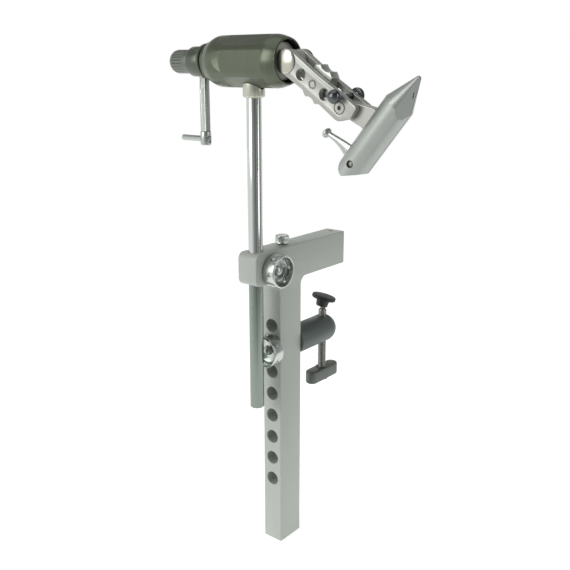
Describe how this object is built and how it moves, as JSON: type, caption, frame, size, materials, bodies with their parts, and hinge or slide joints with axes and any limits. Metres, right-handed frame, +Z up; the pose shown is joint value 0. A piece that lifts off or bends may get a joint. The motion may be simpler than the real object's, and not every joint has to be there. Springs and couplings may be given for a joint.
{
  "type": "rotary tying vise",
  "caption": "Rotary tying vise on a table C-clamp: sliding stem, barrel head with crank, jointed link and tapered cam-lever jaws.",
  "frame": {"origin": "on the underside of the clamp's top arm, on the clamp screw's axis, where the table top seats", "axes": "+Z up along the stem, +X along the spindle towards the jaws, +Y along the top arm over the table"},
  "size_m": [0.1851, 0.1065, 0.3537],
  "materials": {
    "clamp_enamel": "semi-gloss light grey-green finish",
    "chrome_plate": "polished plate",
    "dark_anodised": "dark grey anodised",
    "olive_anodised": "olive grey anodised",
    "grey_anodised": "mid grey anodised",
    "light_aluminium": "bright turned",
    "ground_steel": "fine ground",
    "bush_bronze": "turned bush",
    "black_plastic": "moulded"
  },
  "bodies": {
    "clamp": {"clamp_body": "clamp_enamel", "draw_bolt": "chrome_plate", "lower_arm": "dark_anodised", "arm_stud": "chrome_plate", "screw_bush": "dark_anodised"},
    "stem_knob": {"stem_knob": "chrome_plate"},
    "top_thumbscrew": {"top_thumbscrew": "chrome_plate"},
    "arm_knob": {"arm_knob": "chrome_plate"},
    "screw_ball": {"screw_ball": "ground_steel"},
    "clamp_screw": {"clamp_screw": "ground_steel", "handle_bar": "grey_anodised", "handle_cross_pin": "ground_steel"},
    "swivel_pad": {"swivel_pad": "black_plastic"},
    "stem": {"stem": "chrome_plate"},
    "head": {"collar": "light_aluminium", "collar_set_screw": "dark_anodised", "housing": "olive_anodised", "front_bush": "bush_bronze", "rear_bush": "bush_bronze"},
    "spindle": {"spindle": "ground_steel", "retaining_ring": "dark_anodised", "thrust_washer": "light_aluminium", "crank_hub": "ground_steel", "hub_set_screw": "dark_anodised", "crank_arm": "chrome_plate", "handle_pin": "chrome_plate", "drag_spring": "ground_steel"},
    "drag_knob": {"drag_knob": "grey_anodised"},
    "link": {"near_plate": "light_aluminium", "far_plate": "light_aluminium", "pivot_bolt": "chrome_plate", "pivot_nut": "dark_anodised", "wheel_axle": "ground_steel", "end_screw": "ground_steel", "lock_nut": "dark_anodised"},
    "scallop_wheel": {"scallop_wheel": "light_aluminium"},
    "lock_screw": {"lock_screw": "chrome_plate"},
    "jaw": {"far_jaw": "ground_steel", "cross_pin": "dark_anodised", "jaw_spring": "ground_steel"},
    "near_jaw": {"near_jaw": "ground_steel"},
    "cam_lever": {"cam_lever": "chrome_plate"}
  },
  "joints": [
    {"name": "stem_knob_turn", "type": "hinge", "parent": "clamp", "child": "stem_knob", "pos_m": [0, -0.0657, 0.011], "axis": [1, 0, 0], "range_deg": [-360, 20]},
    {"name": "top_thumbscrew_turn", "type": "hinge", "parent": "clamp", "child": "top_thumbscrew", "pos_m": [0, -0.0467, 0.0236], "axis": [0, 0, 1], "range_deg": [-360, 20]},
    {"name": "arm_knob_turn", "type": "hinge", "parent": "clamp", "child": "arm_knob", "pos_m": [0, -0.058, -0.04793], "axis": [0, -1, 0], "range_deg": [-360, 20]},
    {"name": "clamp_travel", "type": "slide", "parent": "clamp", "child": "screw_ball", "axis": [0, 0, 1], "range_m": [-0.004, 0.019]},
    {"name": "clamp_screw_turn", "type": "hinge", "parent": "screw_ball", "child": "clamp_screw", "pos_m": [0, 0, -0.0787], "axis": [0, 0, 1], "range_deg": [-1160, 5480]},
    {"name": "pad_tilt", "type": "hinge", "parent": "screw_ball", "child": "swivel_pad", "pos_m": [0, 0, -0.0283], "axis": [-0.7986, 0.6018, 0], "range_deg": [-31, 0]},
    {"name": "stem_slide", "type": "slide", "parent": "clamp", "child": "stem", "axis": [0, 0, 1], "range_m": [-0.04, 0.05]},
    {"name": "head_swivel", "type": "hinge", "parent": "stem", "child": "head", "pos_m": [0, -0.0737, 0.126], "axis": [0, 0, 1], "continuous": true},
    {"name": "spindle_turn", "type": "hinge", "parent": "head", "child": "spindle", "pos_m": [0, -0.0737, 0.1413], "axis": [1, 0, 0], "continuous": true},
    {"name": "drag_turn", "type": "hinge", "parent": "spindle", "child": "drag_knob", "pos_m": [-0.055, -0.0737, 0.1413], "axis": [-1, 0, 0], "range_deg": [-360, 90]},
    {"name": "link_tilt", "type": "hinge", "parent": "spindle", "child": "link", "pos_m": [0.0313, -0.0737, 0.1413], "axis": [0, 1, 0], "range_deg": [-33, 20]},
    {"name": "scallop_wheel_turn", "type": "hinge", "parent": "link", "child": "scallop_wheel", "pos_m": [0.05067, -0.0737, 0.12872], "axis": [0, 1, 0], "continuous": true},
    {"name": "lock_screw_turn", "type": "hinge", "parent": "link", "child": "lock_screw", "pos_m": [0.06889, -0.0737, 0.12261], "axis": [0, -1, 0], "range_deg": [-360, 30]},
    {"name": "jaw_tilt", "type": "hinge", "parent": "link", "child": "jaw", "pos_m": [0.06946, -0.0737, 0.11652], "axis": [0, 1, 0], "range_deg": [-15, 25]},
    {"name": "cam_lever_swing", "type": "hinge", "parent": "jaw", "child": "cam_lever", "pos_m": [0.07733, -0.0737, 0.08647], "axis": [0, -1, 0], "range_deg": [0, 50]},
    {"name": "near_jaw_open", "type": "hinge", "parent": "jaw", "child": "near_jaw", "pos_m": [0.07179, -0.0739, 0.07945], "axis": [0.7848, 0, -0.6198], "range_deg": [0, 2]}
  ],
  "couplings": [
    {"joint": "clamp_screw_turn", "follows": "clamp_travel", "rad_per_m": 5026.5},
    {"joint": "near_jaw_open", "follows": "cam_lever_swing", "ratio": 0.04}
  ]
}
